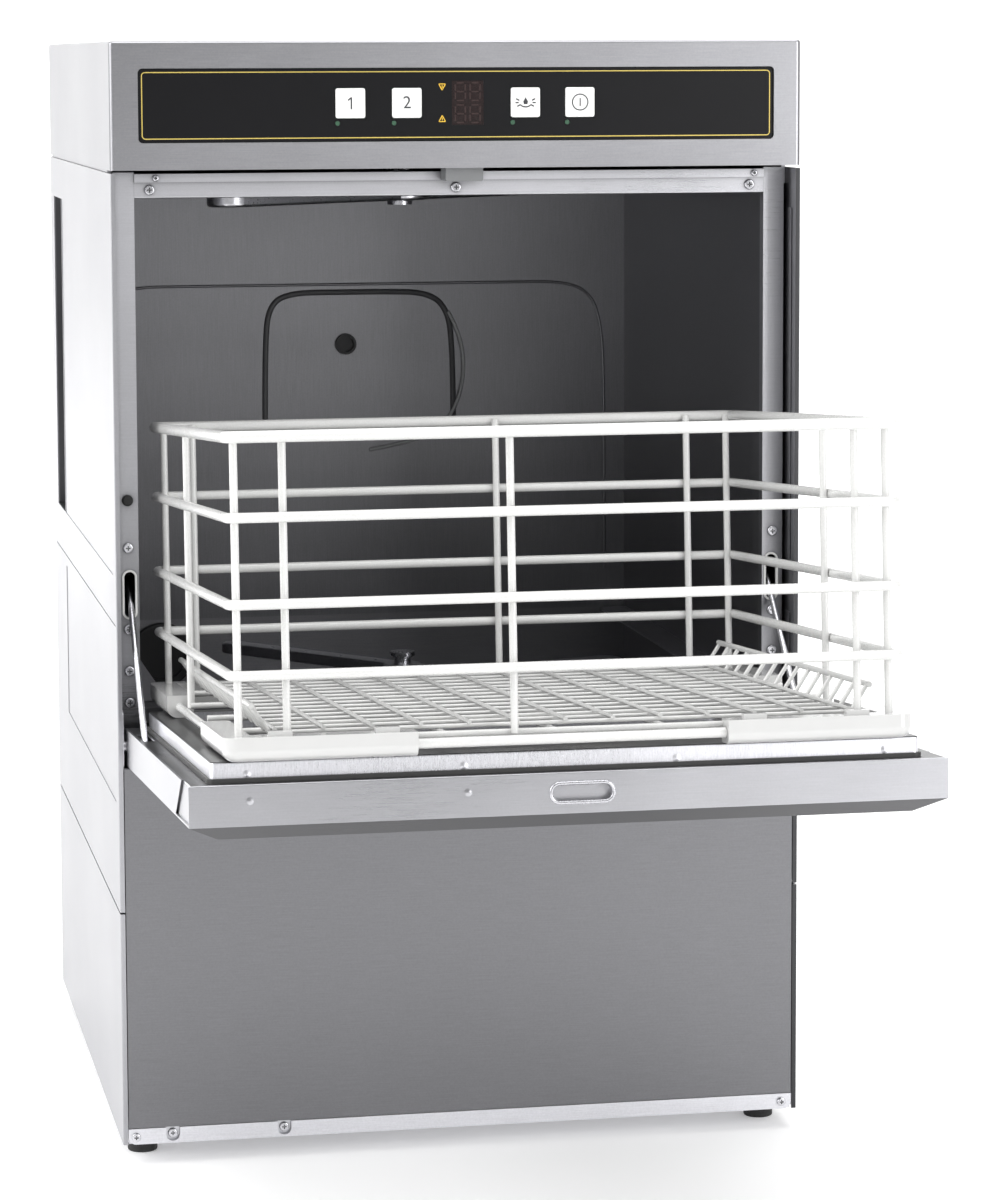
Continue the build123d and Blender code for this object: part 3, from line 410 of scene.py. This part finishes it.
bm = bmesh.new()
digit_y = display_low.y
digit_w, digit_h = 6.6 * MM, 11.5 * MM
for row in (-1, 1):
    for column in (-1, 1):
        cx = (display_low.x + display_high.x) / 2 + column * 4.9 * MM
        cz = (display_low.z + display_high.z) / 2 + row * 7.2 * MM
        w, h, t = digit_w / 2, digit_h / 2, 1.0 * MM
        for z in (-h, 0.0, h):
            stroke(bm, (cx - w + t, cz + z), (cx + w - t, cz + z), t, digit_y, SEGMENT_LIFT)
        for x in (-w, w):
            stroke(bm, (cx + x, cz - h + t), (cx + x, cz - t * 0.7), t, digit_y, SEGMENT_LIFT)
            stroke(bm, (cx + x, cz + t * 0.7), (cx + x, cz + h - t), t, digit_y, SEGMENT_LIFT)
add_mesh("display_segments", bm, SEGMENT, "cabinet")


def button_face(node):
    low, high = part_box(node)
    return (low.x + high.x) / 2, (low.z + high.z) / 2, low.y


def digit(name, node, body, text):
    x, z, y = button_face(node)
    curve = bpy.data.curves.new(name, "FONT")
    curve.body = text
    curve.size = 11.5 * MM
    curve.align_x = "CENTER"
    curve.align_y = "CENTER"
    curve.extrude = MARK_LIFT
    curve.materials.append(INK_DARK)
    piece = bpy.data.objects.new(name, curve)
    bpy.context.scene.collection.objects.link(piece)
    piece.matrix_world = Matrix.Translation((x, y, z)) @ Matrix.Rotation(math.pi / 2, 4, "X")
    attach(piece, body)


x, z, y = button_face("button_program_1")
bm = bmesh.new()
stroke(bm, (x + 0.5 * MM, z - 3.9 * MM), (x + 0.5 * MM, z + 3.9 * MM), 0.95 * MM, y, MARK_LIFT)
stroke(bm, (x + 0.4 * MM, z + 3.5 * MM), (x - 1.7 * MM, z + 1.9 * MM), 0.9 * MM, y, MARK_LIFT)
add_mesh("button_digit_1", bm, INK_DARK, "button_program_1")
digit("button_digit_2", "button_program_2", "button_program_2", "2")

x, z, y = button_face("button_power")
bm = bmesh.new()
arc_stroke(bm, (x, z), 5.2 * MM, 0, 360, 0.8 * MM, y, MARK_LIFT, 40)
stroke(bm, (x, z - 2.7 * MM), (x, z + 2.7 * MM), 0.8 * MM, y, MARK_LIFT)
add_mesh("button_power_symbol", bm, INK_DARK, "button_power")

x, z, y = button_face("button_drain")
bm = bmesh.new()
for side in (-1, 1):
    for k, (reach, rise) in enumerate(((6.4, 2.4), (6.8, -0.2), (5.6, -2.6))):
        middle = (x + side * (reach - 2.2) * MM, z + (rise * 0.55) * MM)
        stroke(bm, middle, (x + side * reach * MM, z + rise * MM), 0.9 * MM, y, MARK_LIFT)
    arc_stroke(bm, (x + side * 0.2 * MM, z + 1.2 * MM), 4.2 * MM, 250 if side > 0 else 290,
               320 if side > 0 else 220, 0.8 * MM, y, MARK_LIFT, 10)
flat_shape(bm, [(x, z + 3.4 * MM), (x - 1.6 * MM, z + 0.6 * MM), (x - 1.1 * MM, z - 1.2 * MM),
                (x + 1.1 * MM, z - 1.2 * MM), (x + 1.6 * MM, z + 0.6 * MM)], y, MARK_LIFT)
add_mesh("button_drain_symbol", bm, INK_DARK, "button_drain")

# ---------------------------------------------------------------- pressed and fitted details in the chamber
wall_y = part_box("chamber_rear")[0].y


def press_line(name, points, radius, material):
    route = [(px * MM, wall_y + radius * 0.35, pz * MM) for px, pz in points]
    tube(name, route, radius, material, "cabinet")


press_line("rear_press_line",
           [(-190, 330), (-190, 500), (-190, 545), (-176, 556), (-120, 556), (0, 556), (120, 556),
            (165, 556), (186, 546), (194, 520), (196, 470), (196, 330)],
           1.2 * MM, MATERIALS["chamber_steel"])
press_line("rear_manifold_edge",
           [(-71, 440), (-71, 515), (-66, 543), (-48, 550), (-16, 550), (24, 550), (54, 549),
            (70, 539), (76, 512), (76, 440)],
           2.4 * MM, EDGE_SHADE)
hose_route = [(72, 534), (82, 516), (85, 484), (76, 455), (60, 440), (36, 432), (10, 428)]
tube("rear_clear_hose", [(px * MM, wall_y - 1.5 * MM, pz * MM) for px, pz in hose_route],
     1.4 * MM, CLEAR_HOSE, "cabinet")

# ---------------------------------------------------------------- spot welds and dimples on the door
JOINTS = {j["name"]: j for j in frame["joints"]}
hinge = Vector(JOINTS["door_swing"]["pos_m"])
inward = Vector(JOINTS["rack_travel"]["axis"]).normalized()
above_door = Vector((0.0, -inward.z, inward.y))


def door_point(px, ps, pn):
    """Point of the open door: px across, ps out from the hinge, pn above it, in mm."""
    return hinge + Vector((px * MM, 0, 0)) - inward * (ps * MM) + above_door * (pn * MM)


def low_dome(bm, centre, normal, radius, height, segments=20, rings=4):
    """Shallow round pimple on a face."""
    turn_to = normal.to_track_quat("Z", "Y").to_matrix()
    top = bm.verts.new(centre + normal * height)
    previous = None
    for r in range(1, rings + 1):
        t = r / rings
        lift = height * (1 - t * t) ** 2
        angles = (2 * math.pi * k / segments for k in range(segments))
        offsets = [Vector((radius * t * math.cos(a), radius * t * math.sin(a), lift)) for a in angles]
        ring = [bm.verts.new(centre + turn_to @ offset) for offset in offsets]
        for k in range(segments):
            j = (k + 1) % segments
            if previous is None:
                bm.faces.new((top, ring[k], ring[j]))
            else:
                bm.faces.new((previous[k], ring[k], ring[j], previous[j]))
        previous = ring


FLANGE_S = 366.0
bm = bmesh.new()
for px in (-189, -63, 63, 189):
    low_dome(bm, door_point(px, 354, 16.5), -inward, 2.6 * MM, 0.35 * MM)
add_mesh("rim_spot_welds", bm, MATERIALS["liner_steel"], "door", True)
bm = bmesh.new()
for px in (-189, -63):
    low_dome(bm, door_point(px, FLANGE_S, 2.5), -inward, 2.4 * MM, 0.3 * MM)
add_mesh("flange_spot_welds", bm, MATERIALS["door_steel"], "door", True)
slot_outline = rounded_outline(18.6 * MM, 5.6 * MM, 5.4 * MM, 6)
slot_rim = [door_point(4 + px / MM, FLANGE_S, pn / MM) for px, pn in slot_outline]
tube("catch_slot_rim", slot_rim, 1.2 * MM, MATERIALS["hub_steel"], "door", True)

# ---------------------------------------------------------------- light, floor, camera
def area(name, place, aim, size_x, size_y, power, colour=(1.0, 1.0, 1.0)):
    data = bpy.data.lights.new(name, "AREA")
    data.shape = "RECTANGLE"
    data.size = size_x
    data.size_y = size_y
    data.energy = power
    data.color = colour
    lamp = bpy.data.objects.new(name, data)
    bpy.context.scene.collection.objects.link(lamp)
    lamp.location = place
    lamp.rotation_euler = (Vector(aim) - Vector(place)).to_track_quat("-Z", "Y").to_euler()
    return lamp


area("key_left", (-2.6, -0.6, 1.7), (0.0, 0.2, 0.45), 2.0, 2.4, 60.0)
area("top", (0.2, -0.4, 2.9), (0.0, 0.1, 0.4), 2.4, 1.8, 42.0)
area("front_right", (2.1, -2.9, 1.25), (0.1, -0.1, 0.45), 1.5, 2.2, 62.0)
area("backdrop_left", (-3.0, 3.6, 3.0), (-2.0, 7.5, 0.3), 2.0, 2.0, 225.0)
area("backdrop_right", (3.0, 3.6, 3.0), (1.0, 7.5, 0.3), 2.0, 2.0, 120.0)

SKY_ALL, SKY_BEHIND, SKY_LEFT, SKY_ABOVE = 0.26, 0.9, 0.55, 0.55
bpy.context.scene.view_settings.view_transform = "Standard"
world = bpy.data.worlds.new("studio")
bpy.context.scene.world = world
world.use_nodes = True
wt = world.node_tree
wt.nodes.clear()
world_out = wt.nodes.new("ShaderNodeOutputWorld")
background = wt.nodes.new("ShaderNodeBackground")
coords = wt.nodes.new("ShaderNodeTexCoord")
split = wt.nodes.new("ShaderNodeSeparateXYZ")
wt.links.new(coords.outputs["Generated"], split.inputs[0])
behind = maths(wt, "MULTIPLY", maths(wt, "MAXIMUM", split.outputs[1], 0.0), SKY_BEHIND)
leftward = maths(wt, "MULTIPLY", split.outputs[0], -1.0)
left = maths(wt, "MULTIPLY", maths(wt, "MAXIMUM", leftward, 0.0), SKY_LEFT)
above = maths(wt, "MULTIPLY", maths(wt, "MAXIMUM", split.outputs[2], 0.0), SKY_ABOVE)
level = maths(wt, "ADD", maths(wt, "ADD", behind, left), maths(wt, "ADD", above, SKY_ALL))
wt.links.new(level, background.inputs["Strength"])
background.inputs["Color"].default_value = (1.0, 1.0, 1.0, 1.0)
wt.links.new(background.outputs[0], world_out.inputs[0])

FLOOR_GLOW = 0.22                # keeps the far floor and backdrop as white as the near floor
WALL_Y, CURVE_R = 10.0, 2.0      # far enough back to leave room for views from behind
bm = bmesh.new()
profile = [(-14.0, 0.0), (WALL_Y - CURVE_R, 0.0)]
for a in range(6, 91, 6):
    turned = math.radians(a)
    profile.append((WALL_Y - CURVE_R + CURVE_R * math.sin(turned), CURVE_R - CURVE_R * math.cos(turned)))
profile += [(WALL_Y, 9.0)]
rows = [[bm.verts.new((side * 14.0, py, pz)) for side in (-1, 1)] for py, pz in profile]
for a, b in zip(rows, rows[1:]):
    bm.faces.new((a[0], a[1], b[1], b[0]))
mesh = bpy.data.meshes.new("studio_floor")
bm.to_mesh(mesh)
bm.free()
for polygon in mesh.polygons:
    polygon.use_smooth = True
floor = bpy.data.objects.new("studio_floor", mesh)
bpy.context.scene.collection.objects.link(floor)
paper, tree, shader = new_material("paper")
fibre = noise(tree, (60, 60, 60), 3.0)
tree.links.new(tinted(tree, (0.90, 0.90, 0.90), remap(tree, fibre, 0.99, 1.01)), shader.inputs["Base Color"])
shader.inputs["Roughness"].default_value = 0.85
shader.inputs["Emission Color"].default_value = (1.0, 1.0, 1.0, 1.0)
shader.inputs["Emission Strength"].default_value = FLOOR_GLOW
mesh.materials.append(paper)

CAMERA_PLACE = (-0.4698, -2.6009, 0.7275)
CAMERA_HEADING, CAMERA_DOWN, CAMERA_ROLL = -11.044, 6.138, -0.19      # degrees
camera_data = bpy.data.cameras.new("camera")
camera_data.sensor_fit = "VERTICAL"
camera_data.sensor_height = 36.0
camera_data.lens = 117.3
camera_data.shift_y = -0.1
camera_data.dof.use_dof = False
camera_data.clip_end = 60.0
camera = bpy.data.objects.new("camera", camera_data)
bpy.context.scene.collection.objects.link(camera)
heading = Matrix.Rotation(math.radians(CAMERA_HEADING), 4, "Z")
turn = heading @ Matrix.Rotation(math.radians(90 - CAMERA_DOWN), 4, "X")
roll = Matrix.Rotation(math.radians(CAMERA_ROLL), 4, "Z")
camera.matrix_world = Matrix.Translation(CAMERA_PLACE) @ turn @ roll
bpy.context.scene.camera = camera
